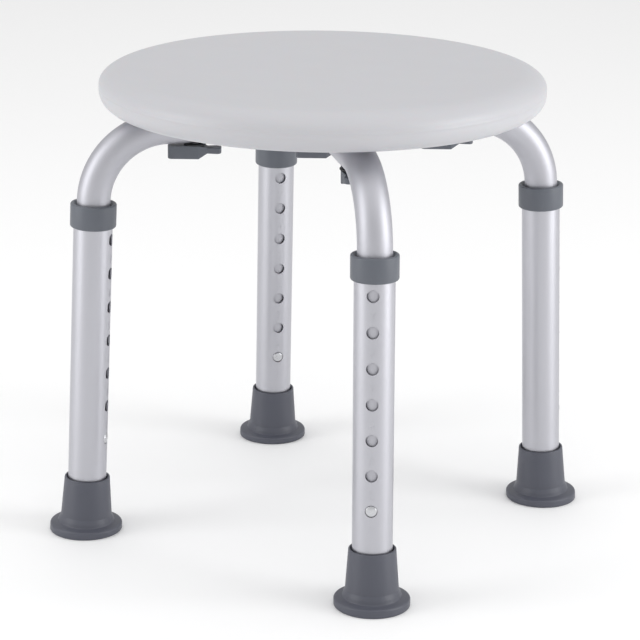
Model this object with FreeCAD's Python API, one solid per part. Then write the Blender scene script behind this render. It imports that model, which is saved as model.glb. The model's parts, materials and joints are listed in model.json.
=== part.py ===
import FreeCAD, Part

"""Height-adjustable round shower stool.

The frame is +Z up, in millimetres, with the origin on the floor under the middle of the seat.
Two bent tubes cross under the seat and are held to it by five knobs. Each of the four tube
ends carries a telescopic lower leg with a row of holes, a collar and a rubber foot.
"""

import math
import os

Vector = FreeCAD.Vector

# --- driving dimensions -------------------------------------------------------------------

# overall
SEAT_DIA = 320.0
SEAT_HEIGHT = 340.0  # top of the seat with the legs fully in
LEG_SPLAY_DEG = 2.2  # lean of each leg from the vertical
FOOT_OUTSET = 15.5  # foot circle beyond the seat's edge

# seat, a hollow moulding
SEAT_THICK = 27.5
SEAT_WALL = 2.6
SEAT_TOP_ROUND_R = 20.0  # horizontal reach of the upper rounding
SEAT_TOP_ROUND_H = 9.0  # height of the upper rounding
SEAT_LOWER_ROUND = 10.0
SEAT_BOSS_WALL = 4.5  # plastic round each insert's flange

# frame tubes
TUBE_OD = 24.0
TUBE_WALL = 1.2
BEND_R = 54.0  # centreline radius
TUBE_END_BELOW_BUTTON = 12.0
FLAT_HEIGHT = 13.5  # height of a tube where it is pressed flat for the crossing
FLAT_SPARE = 5.0  # flat length past the other tube's side
FLAT_BLEND = 28.0  # length over which the section changes from round to flat

# lower legs
LEG_GAP = 0.8  # radial gap between frame tube and leg tube
LEG_WALL = 1.2
HOLE_DIA = 8.5
HOLE_PITCH = 25.0
TOP_HOLE_BELOW_COLLAR = 8.5
LOW_HOLE_ABOVE_FOOT = 25.0  # least distance from a hole's centre to the foot's rim

# collars
COLLAR_WALL = 2.5
COLLAR_HEIGHT = 17.5
COLLAR_LIP = 2.6
COLLAR_BORE_GAP = 0.35  # radial gap round the frame tube
COLLAR_ROUND = 1.2
COLLAR_BELOW_BEND = 1.0

# feet
FOOT_HEIGHT = 41.0
FOOT_TOP_WALL = 2.5
FOOT_CONE_SPREAD = 2.1  # how far the cone widens, all round
FOOT_STEP_REACH = 1.9  # how far the step stands out from the cone
FOOT_STEP_DRAFT = 0.5  # how far the step draws in towards its top
FOOT_FLANGE_REACH = 7.9  # how far the flange stands out from the cone
FOOT_FLANGE_THICK = 5.5
FOOT_STEP_HEIGHT = 9.0
FOOT_CONE_BASE = 12.0
FOOT_EDGE = 1.0  # bevel of the flange's upper edge
FOOT_RIM_EDGE = 0.5  # bevel of the rim's outer edge
FOOT_SOLE = 8.0  # rubber under the washer
FOOT_MOUTH = 1.3  # how far the mouth opens past the leg tube
FOOT_MOUTH_DEPTH = 3.0
TREAD_WIDTH = 2.5
TREAD_DEPTH = 1.2
TREAD_FIRST_R = 8.0
TREAD_SPACING = 6.75
TREAD_COUNT = 3
FOOT_WASHER_THICK = 1.5
FOOT_WASHER_BORE = 10.0

# snap buttons
BUTTON_GAP = 0.25  # radial gap in the hole
BUTTON_PROUD = 0.4
BUTTON_ROUND = 0.8
BUTTON_FLANGE_RIM = 0.75  # how far the flange stands out past the hole
BUTTON_FLANGE_THICK = 1.2
BUTTON_FLANGE_GAP = 0.3
SPRING_THICK = 0.6
SPRING_WIDTH = 7.0
SPRING_ARM = 24.0
SPRING_TAIL = 6.0
SPRING_WALL_GAP = 0.25

# knobs and what they hold
KNOB_SETBACK = 19.0  # knob axis inward from where the bend starts
KNOB_TURN_DEG = 32.5
KNOB_TURNED_DEG = {"front_right": -57.5}  # knobs left at another angle than the rest
KNOB_HEIGHT = 9.5
KNOB_BLOCK_BACK = 19.0
KNOB_BLOCK_FRONT = 3.0
KNOB_BLOCK_WIDTH = 14.0
KNOB_NECK = 9.0  # where the wing starts
KNOB_NECK_WIDTH = 8.0
KNOB_WING_END = 19.0
KNOB_WING_WIDTH = 11.0
KNOB_WING_DROP = 1.5  # wing's top below the block's
KNOB_WING_RISE = 3.5  # wing's underside above the block's
KNOB_ROUND = 3.0
KNOB_EDGE_ROUND = 0.8
SCREW_DIA = 6.0
SCREW_HOLE_GAP = 0.4  # radial gap in the tubes and washers
SCREW_THREAD_GAP = 0.05  # radial gap in the insert
SCREW_INTO_INSERT = 10.0
SCREW_HEAD_RIM = 2.0  # from the shank to the head's flats
SCREW_TIP_BEVEL = 0.8
SCREW_HEAD_HEIGHT = 4.0
SCREW_HEAD_COVER = 2.5  # plastic over the head
WASHER_DIA = 16.0
WASHER_THICK = 1.2
INSERT_WALL = 1.75
INSERT_LENGTH = 12.0
INSERT_FLANGE_RIM = 1.75
INSERT_FLANGE_THICK = 1.0
INSERT_HOLE_SPARE = 2.0  # hole depth beyond the insert

CUT_SPARE = 1.0  # how far cutters run past what they cut
TINY = 0.01  # least length of an edge, and tolerance when edges are picked by their place

# angle of each leg about +Z, and of its row of holes from the leg's outward side
LEGS = {
    "front_right": (-45.0, -18.0),
    "rear_left": (135.0, 183.5),
    "rear_right": (45.0, -5.0),
    "front_left": (225.0, 154.5),
}
UPPER_LEGS = ("front_right", "rear_left")

# --- places worked out from the sizes -----------------------------------------------------

SPLAY = math.radians(LEG_SPLAY_DEG)
SEAT_R = SEAT_DIA / 2
SEAT_UNDER = SEAT_HEIGHT - SEAT_THICK
FOOT_CIRCLE_R = SEAT_R + FOOT_OUTSET

TUBE_R = TUBE_OD / 2
TUBE_IR = TUBE_R - TUBE_WALL
RUN_Z = SEAT_UNDER - TUBE_R
CORNER_R = FOOT_CIRCLE_R - RUN_Z * math.tan(SPLAY)
BEND_TURN = math.pi / 2 - SPLAY
BEND_TANGENT = BEND_R * math.tan(BEND_TURN / 2)
RUN_END_R = CORNER_R - BEND_TANGENT
BEND_START = RUN_Z / math.cos(SPLAY) - BEND_TANGENT  # along the leg, from the floor

FLAT_MEAN = math.pi * (TUBE_OD - TUBE_WALL)
FLAT_STRAIGHT = (FLAT_MEAN - math.pi * (FLAT_HEIGHT - TUBE_WALL)) / 2
FLAT_WIDTH = FLAT_STRAIGHT + FLAT_HEIGHT
FLAT_END = FLAT_WIDTH / 2 + FLAT_SPARE
BLEND_END = FLAT_END + FLAT_BLEND

LEG_IR = TUBE_R + LEG_GAP
LEG_R = LEG_IR + LEG_WALL
COLLAR_TOP = BEND_START - COLLAR_BELOW_BEND
COLLAR_BASE = COLLAR_TOP - COLLAR_HEIGHT
LEG_TOP = COLLAR_TOP - COLLAR_LIP
LEG_BASE = FOOT_SOLE + FOOT_WASHER_THICK
TOP_HOLE = COLLAR_BASE - TOP_HOLE_BELOW_COLLAR
HOLE_STEPS = int((TOP_HOLE - FOOT_HEIGHT - LOW_HOLE_ABOVE_FOOT) / HOLE_PITCH)
LOW_HOLE = TOP_HOLE - HOLE_STEPS * HOLE_PITCH
TUBE_END = LOW_HOLE - TUBE_END_BELOW_BUTTON

TREAD_RADII = [TREAD_FIRST_R + step * TREAD_SPACING for step in range(TREAD_COUNT)]
FOOT_RIM_R = LEG_R + FOOT_TOP_WALL
FOOT_CONE_R = FOOT_RIM_R + FOOT_CONE_SPREAD
FOOT_STEP_R = FOOT_CONE_R + FOOT_STEP_REACH
FOOT_FLANGE_R = FOOT_CONE_R + FOOT_FLANGE_REACH

BUTTON_R = HOLE_DIA / 2 - BUTTON_GAP
BUTTON_FLANGE_R = HOLE_DIA / 2 + BUTTON_FLANGE_RIM
BUTTON_TOP = LEG_R + BUTTON_PROUD
FLANGE_OUT = math.sqrt(TUBE_IR**2 - BUTTON_FLANGE_R**2) - BUTTON_FLANGE_GAP
FLANGE_IN = FLANGE_OUT - BUTTON_FLANGE_THICK
SPRING_BACK = math.sqrt(TUBE_IR**2 - (SPRING_WIDTH / 2) ** 2) - SPRING_WALL_GAP

INSERT_R = SCREW_DIA / 2 + INSERT_WALL
INSERT_FLANGE_R = INSERT_R + INSERT_FLANGE_RIM
SEAT_BOSS_R = INSERT_FLANGE_R + SEAT_BOSS_WALL
SCREW_HEAD_AF = SCREW_DIA + 2 * SCREW_HEAD_RIM

KNOB_R = RUN_END_R - KNOB_SETBACK
KNOB_PLACES = {name: (KNOB_R, angle) for name, (angle, row) in LEGS.items()}
KNOB_PLACES["centre"] = (0.0, 0.0)


def knob_seat(name):
    """Height of the tube's underside where this knob clamps it."""
    if name == "centre":
        return SEAT_UNDER - 2 * FLAT_HEIGHT
    return SEAT_UNDER - TUBE_OD


def knob_centre(name):
    """Plan position of a knob's axis."""
    radius, angle = KNOB_PLACES[name]
    turn = math.radians(angle)
    return radius * math.cos(turn), radius * math.sin(turn)


# --- helpers ------------------------------------------------------------------------------


def cylinder(radius, low, high, x=0.0, y=0.0):
    """Upright cylinder between two heights."""
    return Part.makeCylinder(radius, high - low, Vector(x, y, low))


def ring(outer, inner, low, high, x=0.0, y=0.0):
    """Upright tube between two heights."""
    return cylinder(outer, low, high, x, y).cut(cylinder(inner, low, high, x, y))


def revolved(points):
    """Solid turned about +Z from a closed outline of (radius, height) points."""
    corners = [Vector(r, 0, z) for r, z in points]
    outline = Part.makePolygon(corners + corners[:1])
    return Part.Face(outline).revolve(Vector(), Vector(0, 0, 1), 360)


def one_solid(shape):
    """The single solid of a shape, with seams between equal faces removed."""
    shape = shape.removeSplitter()
    return shape.Solids[0] if len(shape.Solids) == 1 else shape


def on_leg(shape, name):
    """Stand a shape made along +Z from the origin on a leg: +X turns to the outward side."""
    angle = LEGS[name][0]
    placed = shape.copy()
    placed.rotate(Vector(), Vector(0, 1, 0), -LEG_SPLAY_DEG)
    placed.translate(Vector(FOOT_CIRCLE_R, 0, 0))
    placed.rotate(Vector(), Vector(0, 0, 1), angle)
    return placed


def along_row(shape, name):
    """Turn a shape that faces +X to the side of a leg that has the row of holes."""
    turned = shape.copy()
    turned.rotate(Vector(), Vector(0, 0, 1), LEGS[name][1])
    return turned


def row_hole(radius, height, name):
    """Cutter for one hole through the wall that has the row."""
    reach = LEG_R + COLLAR_WALL
    hole = Part.makeCylinder(radius, reach, Vector(0, 0, height), Vector(1, 0, 0))
    return along_row(hole, name)


# --- seat ---------------------------------------------------------------------------------


def seat_profile(inset):
    """Half section of the seat, drawn in by inset on every side."""
    edge = SEAT_R - inset
    low = SEAT_UNDER + inset
    high = SEAT_HEIGHT - inset
    lower = SEAT_LOWER_ROUND - inset
    reach = SEAT_TOP_ROUND_R - inset
    rise = SEAT_TOP_ROUND_H - inset / 2
    widest = high - rise
    turn = math.pi / 4
    floor_end = Vector(edge - lower, 0, low)
    lower_mid = Vector(edge - lower + lower * math.sin(turn), 0, low + lower * (1 - math.cos(turn)))
    side_low = Vector(edge, 0, low + lower)
    side_high = Vector(edge, 0, widest)
    shoulder = Vector(edge - reach, 0, high)
    dome = Part.Ellipse(Vector(edge, 0, widest), shoulder, Vector(edge - reach, 0, widest))
    dome_arc = Part.Arc(dome, 0, math.pi / 2)
    edges = [
        Part.makeLine(Vector(0, 0, low), floor_end),
        Part.Arc(floor_end, lower_mid, side_low).toShape(),
        Part.makeLine(side_low, side_high),
        dome_arc.toShape(),
        Part.makeLine(shoulder, Vector(0, 0, high)),
        Part.makeLine(Vector(0, 0, high), Vector(0, 0, low)),
    ]
    return Part.Face(Part.Wire(edges))


def turned_seat(inset):
    """Solid of the seat, drawn in by inset on every side."""
    return seat_profile(inset).revolve(Vector(), Vector(0, 0, 1), 360)


def make_seat():
    """Hollow seat with a solid column round each threaded insert."""
    hollow = turned_seat(SEAT_WALL)
    sockets = []
    for name in KNOB_PLACES:
        x, y = knob_centre(name)
        hollow = hollow.cut(cylinder(SEAT_BOSS_R, SEAT_UNDER, SEAT_HEIGHT, x, y))
        depth = INSERT_LENGTH + INSERT_HOLE_SPARE
        sockets.append(cylinder(INSERT_R, SEAT_UNDER, SEAT_UNDER + depth, x, y))
        flange_top = SEAT_UNDER + INSERT_FLANGE_THICK
        sockets.append(cylinder(INSERT_FLANGE_R, SEAT_UNDER, flange_top, x, y))
    return turned_seat(0.0).cut(hollow).cut(sockets)


def make_insert(name):
    """Flanged threaded insert, set flush into the underside of the seat."""
    x, y = knob_centre(name)
    top = SEAT_UNDER + INSERT_LENGTH
    body = cylinder(INSERT_R, SEAT_UNDER, top, x, y)
    flange = cylinder(INSERT_FLANGE_R, SEAT_UNDER, SEAT_UNDER + INSERT_FLANGE_THICK, x, y)
    bore = cylinder(SCREW_DIA / 2, SEAT_UNDER, top, x, y)
    return one_solid(body.fuse(flange).cut(bore))


# --- frame tubes --------------------------------------------------------------------------


def section(half_straight, radius, along, height):
    """Upright outline across a run: two arcs, and two straights that may be tiny."""
    flat = max(half_straight, TINY)
    right_top = Vector(along, flat, height + radius)
    right_mid = Vector(along, flat + radius, height)
    right_low = Vector(along, flat, height - radius)
    left_low = Vector(along, -flat, height - radius)
    left_mid = Vector(along, -flat - radius, height)
    left_top = Vector(along, -flat, height + radius)
    return Part.Wire(
        [
            Part.makeLine(left_top, right_top),
            Part.Arc(right_top, right_mid, right_low).toShape(),
            Part.makeLine(right_low, left_low),
            Part.Arc(left_low, left_mid, left_top).toShape(),
        ]
    )


def flattened_end(radius, flat_z):
    """Half of a tube's middle, from the centre out to where it is round again."""
    inset = TUBE_R - radius
    flat_radius = FLAT_HEIGHT / 2 - inset
    middle = section(FLAT_STRAIGHT / 2, flat_radius, 0.0, flat_z)
    outer = section(FLAT_STRAIGHT / 2, flat_radius, FLAT_END, flat_z)
    round_end = section(0.0, radius, BLEND_END, RUN_Z)
    straight = Part.makeLoft([middle, outer], True, True)
    blend = Part.makeLoft([outer, round_end], True, True)
    return straight.fuse(blend)


def half_tube(radius, flat_z):
    """Solid rod from the centre along +X, round the bend and down the leg."""
    run = Part.makeCylinder(radius, RUN_END_R - BLEND_END, Vector(BLEND_END, 0, RUN_Z), Vector(1, 0, 0))
    start = Vector(RUN_END_R, 0, RUN_Z)
    disc = Part.Face(Part.Wire(Part.makeCircle(radius, start, Vector(1, 0, 0))))
    pivot = Vector(RUN_END_R, 0, RUN_Z - BEND_R)
    bend = disc.revolve(pivot, Vector(0, 1, 0), math.degrees(BEND_TURN))
    leg = cylinder(radius, TUBE_END, BEND_START)
    leg.rotate(Vector(), Vector(0, 1, 0), -LEG_SPLAY_DEG)
    leg.translate(Vector(FOOT_CIRCLE_R, 0, 0))
    return flattened_end(radius, flat_z).fuse([run, bend, leg])


def make_frame_tube(upper):
    """One bent tube with two legs, pressed flat in the middle for the crossing."""
    legs = [name for name in LEGS if (name in UPPER_LEGS) == upper]
    flat_z = SEAT_UNDER - FLAT_HEIGHT * (0.5 if upper else 1.5)
    rod = half_tube(TUBE_R, flat_z)
    core = half_tube(TUBE_IR, flat_z)
    whole_rod = None
    whole_core = None
    for name in legs:
        turned_rod = rod.copy()
        turned_rod.rotate(Vector(), Vector(0, 0, 1), LEGS[name][0])
        turned_core = core.copy()
        turned_core.rotate(Vector(), Vector(0, 0, 1), LEGS[name][0])
        whole_rod = turned_rod if whole_rod is None else whole_rod.fuse(turned_rod)
        whole_core = turned_core if whole_core is None else whole_core.fuse(turned_core)
    cutters = [whole_core]
    for name in legs + ["centre"]:
        x, y = knob_centre(name)
        radius = SCREW_DIA / 2 + SCREW_HOLE_GAP
        cutters.append(cylinder(radius, knob_seat(name) - CUT_SPARE, SEAT_UNDER + CUT_SPARE, x, y))
    for name in legs:
        cutters.append(on_leg(row_hole(HOLE_DIA / 2, LOW_HOLE, name), name))
    return one_solid(whole_rod.cut(cutters))


# --- lower legs ---------------------------------------------------------------------------


def make_leg_tube(name):
    """Outer tube of a leg with its row of adjusting holes."""
    tube = ring(LEG_R, LEG_IR, LEG_BASE, LEG_TOP)
    holes = [
        row_hole(HOLE_DIA / 2, LOW_HOLE + step * HOLE_PITCH, name)
        for step in range(HOLE_STEPS + 1)
    ]
    return on_leg(tube.cut(holes), name)


def make_collar(name):
    """Plastic collar over the leg tube's end, with a lip that guides the frame tube."""
    outer = LEG_R + COLLAR_WALL
    body = cylinder(outer, COLLAR_BASE, COLLAR_TOP)
    rims = [edge for edge in body.Edges if edge.Closed]
    body = body.makeFillet(COLLAR_ROUND, rims)
    socket = cylinder(LEG_R, COLLAR_BASE, LEG_TOP)
    bore = cylinder(TUBE_R + COLLAR_BORE_GAP, COLLAR_BASE, COLLAR_TOP)
    return on_leg(body.cut([socket, bore]), name)


def make_foot(name):
    """Rubber foot: a cone on a wide flange, with a flat sole level with the floor."""
    below = FOOT_FLANGE_R * math.tan(SPLAY) + CUT_SPARE
    outline = [
        (0, -below),
        (FOOT_FLANGE_R, -below),
        (FOOT_FLANGE_R, FOOT_FLANGE_THICK - FOOT_EDGE),
        (FOOT_FLANGE_R - FOOT_EDGE, FOOT_FLANGE_THICK),
        (FOOT_STEP_R, FOOT_FLANGE_THICK + FOOT_EDGE),
        (FOOT_STEP_R - FOOT_STEP_DRAFT, FOOT_STEP_HEIGHT),
        (FOOT_CONE_R, FOOT_CONE_BASE),
        (FOOT_RIM_R, FOOT_HEIGHT - FOOT_RIM_EDGE),
        (FOOT_RIM_R - FOOT_RIM_EDGE, FOOT_HEIGHT),
        (LEG_R + FOOT_MOUTH, FOOT_HEIGHT),
        (LEG_R, FOOT_HEIGHT - FOOT_MOUTH_DEPTH),
        (LEG_R, LEG_BASE),
        (LEG_IR, LEG_BASE),
        (LEG_IR, FOOT_SOLE),
        (0, FOOT_SOLE),
    ]
    foot = on_leg(revolved(outline), name)
    span = FOOT_CIRCLE_R + 2 * FOOT_FLANGE_R
    depth = 2 * below
    foot = foot.cut(Part.makeBox(2 * span, 2 * span, depth, Vector(-span, -span, -depth)))
    turn = math.radians(LEGS[name][0])
    x = FOOT_CIRCLE_R * math.cos(turn)
    y = FOOT_CIRCLE_R * math.sin(turn)
    half = TREAD_WIDTH / 2
    grooves = [ring(radius + half, radius - half, -CUT_SPARE, TREAD_DEPTH, x, y) for radius in TREAD_RADII]
    return foot.cut(grooves)


def make_foot_washer(name):
    """Steel washer that keeps the leg tube from cutting through the sole."""
    washer = ring(LEG_IR, FOOT_WASHER_BORE / 2, FOOT_SOLE, LEG_BASE)
    return on_leg(washer, name)


# --- snap buttons -------------------------------------------------------------------------


def make_button(name):
    """Low button with a rounded top and a flange behind the frame tube's wall, facing the row."""
    shank = cylinder(BUTTON_R, FLANGE_IN, BUTTON_TOP)
    crown = [edge for edge in shank.Edges if edge.BoundBox.ZMin > BUTTON_TOP - TINY]
    shank = shank.makeFillet(BUTTON_ROUND, crown)
    flange = cylinder(BUTTON_FLANGE_R, FLANGE_IN, FLANGE_OUT)
    button = one_solid(shank.fuse(flange))
    button.rotate(Vector(), Vector(0, 1, 0), 90)
    button.translate(Vector(0, 0, LOW_HOLE))
    return on_leg(along_row(button, name), name)


def make_spring(name):
    """Leaf spring bent into a U: one arm backs the button, the other rests on the far wall."""
    half = SPRING_WIDTH / 2
    low = LOW_HOLE - SPRING_TAIL
    high = LOW_HOLE + SPRING_ARM
    outer = (FLANGE_IN + SPRING_BACK) / 2
    centre = (FLANGE_IN - SPRING_BACK) / 2
    front = Part.makeBox(
        SPRING_THICK, SPRING_WIDTH, high - low, Vector(FLANGE_IN - SPRING_THICK, -half, low)
    )
    back = Part.makeBox(SPRING_THICK, SPRING_WIDTH, high - low, Vector(-SPRING_BACK, -half, low))
    hoop = Part.makeCylinder(outer, SPRING_WIDTH, Vector(centre, -half, high), Vector(0, 1, 0))
    hollow = Part.makeCylinder(
        outer - SPRING_THICK, SPRING_WIDTH, Vector(centre, -half, high), Vector(0, 1, 0)
    )
    below = Part.makeBox(4 * outer, SPRING_WIDTH, outer, Vector(centre - 2 * outer, -half, high - outer))
    hoop = hoop.cut([hollow, below])
    return on_leg(along_row(one_solid(hoop.fuse([front, back])), name), name)


# --- knobs, screws and washers ------------------------------------------------------------


def make_washer(name):
    """Plastic washer between the knob and the tube."""
    x, y = knob_centre(name)
    top = knob_seat(name)
    return ring(WASHER_DIA / 2, SCREW_DIA / 2 + SCREW_HOLE_GAP, top - WASHER_THICK, top, x, y)


def make_screw(name):
    """Hexagon-headed screw whose head is moulded into the knob."""
    x, y = knob_centre(name)
    head_top = knob_seat(name) - WASHER_THICK - SCREW_HEAD_COVER
    corner = SCREW_HEAD_AF / 2 / math.cos(math.pi / 6)
    points = []
    for step in range(7):
        turn = step * math.pi / 3
        points.append(Vector(x + corner * math.cos(turn), y + corner * math.sin(turn), head_top))
    hexagon = Part.Face(Part.makePolygon(points))
    head = hexagon.extrude(Vector(0, 0, -SCREW_HEAD_HEIGHT))
    shank_top = SEAT_UNDER + SCREW_INTO_INSERT
    shank = cylinder(SCREW_DIA / 2 - SCREW_THREAD_GAP, head_top, shank_top, x, y)
    tip = [edge for edge in shank.Edges if edge.BoundBox.ZMin > shank_top - TINY]
    return head.fuse(shank.makeChamfer(SCREW_TIP_BEVEL, tip))


def knob_outlines():
    """Side view (along, height above the knob's top) and plan (along, across) of a knob."""
    low = -KNOB_HEIGHT
    wing_low = low + KNOB_WING_RISE
    wing_top = -KNOB_WING_DROP
    side = [
        (-KNOB_BLOCK_BACK, 0),
        (-KNOB_BLOCK_BACK, low),
        (KNOB_BLOCK_FRONT, low),
        (KNOB_NECK, wing_low),
        (KNOB_WING_END, wing_low),
        (KNOB_WING_END, wing_top),
        (KNOB_NECK, wing_top),
        (KNOB_BLOCK_FRONT, 0),
    ]
    half_block = KNOB_BLOCK_WIDTH / 2
    half_neck = KNOB_NECK_WIDTH / 2
    half_wing = KNOB_WING_WIDTH / 2
    plan = [
        (-KNOB_BLOCK_BACK, -half_block),
        (KNOB_BLOCK_FRONT, -half_block),
        (KNOB_NECK, -half_neck),
        (KNOB_WING_END, -half_wing),
        (KNOB_WING_END, half_wing),
        (KNOB_NECK, half_neck),
        (KNOB_BLOCK_FRONT, half_block),
        (-KNOB_BLOCK_BACK, half_block),
    ]
    return side, plan


def make_knob(name):
    """Lever knob: a rounded block on one side of the screw and a thinner wing on the other."""
    x, y = knob_centre(name)
    top = knob_seat(name) - WASHER_THICK
    side, plan = knob_outlines()
    corners = [Vector(along, -KNOB_BLOCK_WIDTH / 2, top + height) for along, height in side]
    slab = Part.Face(Part.makePolygon(corners + corners[:1])).extrude(Vector(0, KNOB_BLOCK_WIDTH, 0))
    outline = [Vector(along, across, top - KNOB_HEIGHT) for along, across in plan]
    prism = Part.Face(Part.makePolygon(outline + outline[:1])).extrude(Vector(0, 0, KNOB_HEIGHT))
    knob = slab.common(prism)
    upright = [edge for edge in knob.Edges if is_end_edge(edge)]
    knob = knob.makeFillet(KNOB_ROUND, upright)
    exposed = [edge for edge in knob.Edges if edge.BoundBox.ZMax < top - TINY]
    knob = knob.makeFillet(KNOB_EDGE_ROUND, exposed)
    knob.rotate(Vector(), Vector(0, 0, 1), KNOB_TURNED_DEG.get(name, KNOB_TURN_DEG))
    knob.translate(Vector(x, y, 0))
    return knob.cut(make_screw(name))


def is_end_edge(edge):
    """True for the upright edges at the two ends of a knob."""
    box = edge.BoundBox
    at_end = box.XMax < -KNOB_BLOCK_BACK + TINY or box.XMin > KNOB_WING_END - TINY
    return at_end and box.YLength < TINY


# --- the whole stool ----------------------------------------------------------------------


def build():
    """Every sub-part by name."""
    parts = {
        "seat": make_seat(),
        "frame_tube_upper": make_frame_tube(True),
        "frame_tube_lower": make_frame_tube(False),
    }
    for name in KNOB_PLACES:
        parts[f"insert_{name}"] = make_insert(name)
        parts[f"knob_{name}"] = make_knob(name)
        parts[f"knob_screw_{name}"] = make_screw(name)
        parts[f"knob_washer_{name}"] = make_washer(name)
    for name in LEGS:
        parts[f"leg_tube_{name}"] = make_leg_tube(name)
        parts[f"collar_{name}"] = make_collar(name)
        parts[f"foot_{name}"] = make_foot(name)
        parts[f"foot_washer_{name}"] = make_foot_washer(name)
        parts[f"snap_button_{name}"] = make_button(name)
        parts[f"button_spring_{name}"] = make_spring(name)
    return parts


def main():
    os.makedirs("parts", exist_ok=True)
    for node, shape in build().items():
        volume = shape.Volume / 1000
        print(f"{node}: {volume:.2f} cm3, {len(shape.Solids)} solid, valid {shape.isValid()}")
        shape.exportStep(f"parts/{node}.step")
    print(f"holes {HOLE_STEPS + 1}, lowest {LOW_HOLE:.2f}, top {TOP_HOLE:.2f}, collar {COLLAR_TOP:.2f}")
    print(f"knob circle {KNOB_R:.2f}, run end {RUN_END_R:.2f}, flat width {FLAT_WIDTH:.2f}")


main()
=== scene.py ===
"""Shower stool: the visible pieces, finishes and studio, built round the stool's CAD frame.

Lengths are in metres. Every place and main diameter is measured from the frame. The settings
hold the detail that the frame leaves plain, such as roundings, lettering and finishes.
"""

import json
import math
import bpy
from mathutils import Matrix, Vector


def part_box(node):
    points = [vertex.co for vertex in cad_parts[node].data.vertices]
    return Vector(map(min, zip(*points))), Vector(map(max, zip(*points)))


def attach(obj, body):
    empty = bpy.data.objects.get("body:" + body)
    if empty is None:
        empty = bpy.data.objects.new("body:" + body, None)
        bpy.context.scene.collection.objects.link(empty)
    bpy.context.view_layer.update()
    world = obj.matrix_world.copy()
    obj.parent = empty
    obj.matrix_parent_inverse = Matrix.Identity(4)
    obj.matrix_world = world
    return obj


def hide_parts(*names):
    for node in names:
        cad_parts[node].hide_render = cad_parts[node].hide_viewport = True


bl_info = {
    "name": "Shower stool",
    "version": (1, 0, 0),
    "blender": (4, 5, 0),
    "location": "3D View > Sidebar > Stool",
    "description": "Builds a round shower stool with telescopic legs round its CAD frame",
    "category": "Object",
}

import bpy
from bpy.props import FloatProperty, FloatVectorProperty, PointerProperty
from mathutils import Matrix, Vector

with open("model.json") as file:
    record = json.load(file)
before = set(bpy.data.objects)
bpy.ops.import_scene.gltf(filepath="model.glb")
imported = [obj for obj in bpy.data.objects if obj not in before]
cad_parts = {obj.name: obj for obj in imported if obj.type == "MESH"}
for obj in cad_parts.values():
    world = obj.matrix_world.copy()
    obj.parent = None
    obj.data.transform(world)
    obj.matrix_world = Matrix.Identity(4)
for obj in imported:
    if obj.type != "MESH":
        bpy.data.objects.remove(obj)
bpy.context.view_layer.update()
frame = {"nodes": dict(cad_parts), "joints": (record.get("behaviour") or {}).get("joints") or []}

MM = 0.001
LEGS = ("front_right", "rear_left", "rear_right", "front_left")
KNOBS = LEGS + ("centre",)
TUBE_LEGS = {
    "frame_tube_upper": ("front_right", "rear_left"),
    "frame_tube_lower": ("rear_right", "front_left"),
}
JOINTS = {joint["name"]: joint for joint in frame["joints"]}
ROUND = 96  # segments round a collar or a foot
LEG_ROUND = 128  # segments round a leg tube
SMALL_ROUND = 48  # segments round a button, a washer or an insert's socket
HOLE_ROUND, SCREW_ROUND = 40, 32  # segments round an adjusting hole and a screw's hole
CORNER = 5  # segments round a small edge
SMOOTH = 40.0  # degrees up to which an edge is shaded smooth, unless a piece says otherwise
SPARE = 1 * MM  # how far a cutter runs past the surface it cuts
NO_RADIUS = 1e-7  # below this an outline's point is on the axis


# --- measures taken from the frame --------------------------------------------------------


def leg_space(name):
    """Matrix of a leg's own space: +Z up the leg, +X towards its row of holes, floor origin."""
    up = -Vector(JOINTS[f"leg_slide_{name}"]["axis"]).normalized()
    row = -Vector(JOINTS[f"button_press_{name}"]["axis"])
    row = (row - up * row.dot(up)).normalized()
    low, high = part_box(f"collar_{name}")
    middle = (low + high) / 2
    space = Matrix((row, up.cross(row), up)).transposed().to_4x4()
    space.translation = middle - up * (middle.z / up.z)
    return space


def knob_space(name):
    """Matrix of a knob's own space: upright, origin on its axis where it clamps the tube."""
    low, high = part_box(f"knob_washer_{name}")
    return Matrix.Translation(Vector(((low.x + high.x) / 2, (low.y + high.y) / 2, high.z)))


def reach(node, space):
    """Least and greatest radius, and lowest and highest height, of a node in a space."""
    inverse = space.inverted()
    points = [inverse @ vertex.co for vertex in frame["nodes"][node].data.vertices]
    radii = [point.xy.length for point in points]
    heights = [point.z for point in points]
    return min(radii), max(radii), min(heights), max(heights)


SEAT_LOW, SEAT_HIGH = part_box("seat")
SEAT_RADIUS = (SEAT_HIGH.x - SEAT_LOW.x + SEAT_HIGH.y - SEAT_LOW.y) / 4
LEG = leg_space(LEGS[0])
LEG_BORE, LEG_RADIUS, LEG_LOW, LEG_HIGH = reach(f"leg_tube_{LEGS[0]}", LEG)
COLLAR_BORE, COLLAR_RADIUS, COLLAR_LOW, COLLAR_HIGH = reach(f"collar_{LEGS[0]}", LEG)
FOOT_RADIUS, FOOT_HIGH = reach(f"foot_{LEGS[0]}", LEG)[1::2]
BUTTON_LOW, BUTTON_HIGH = reach(f"snap_button_{LEGS[0]}", LEG)[2:]
BUTTON_HEIGHT = (BUTTON_LOW + BUTTON_HIGH) / 2
HOLE_STEP = 25 * MM
HOLE_COUNT = 1 + round(JOINTS[f"leg_slide_{LEGS[0]}"]["range_m"][1] / HOLE_STEP)


# --- settings -----------------------------------------------------------------------------


def tone(red, green, blue):
    """Linear colour from 0 to 255 display values."""
    return tuple(((value / 255 + 0.055) / 1.055) ** 2.4 for value in (red, green, blue))


def length(label, text, millimetres):
    """Length setting, given in millimetres."""
    return FloatProperty(name=label, description=text, default=millimetres * MM, min=0, unit="LENGTH")


def angle(label, text, degrees):
    """Angle setting, given in degrees."""
    return FloatProperty(name=label, description=text, default=math.radians(degrees), unit="ROTATION")


def colour(label, text, value):
    """Colour setting, linear."""
    return FloatVectorProperty(
        name=label, description=text, default=value, size=3, min=0, max=1, subtype="COLOR"
    )


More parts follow.
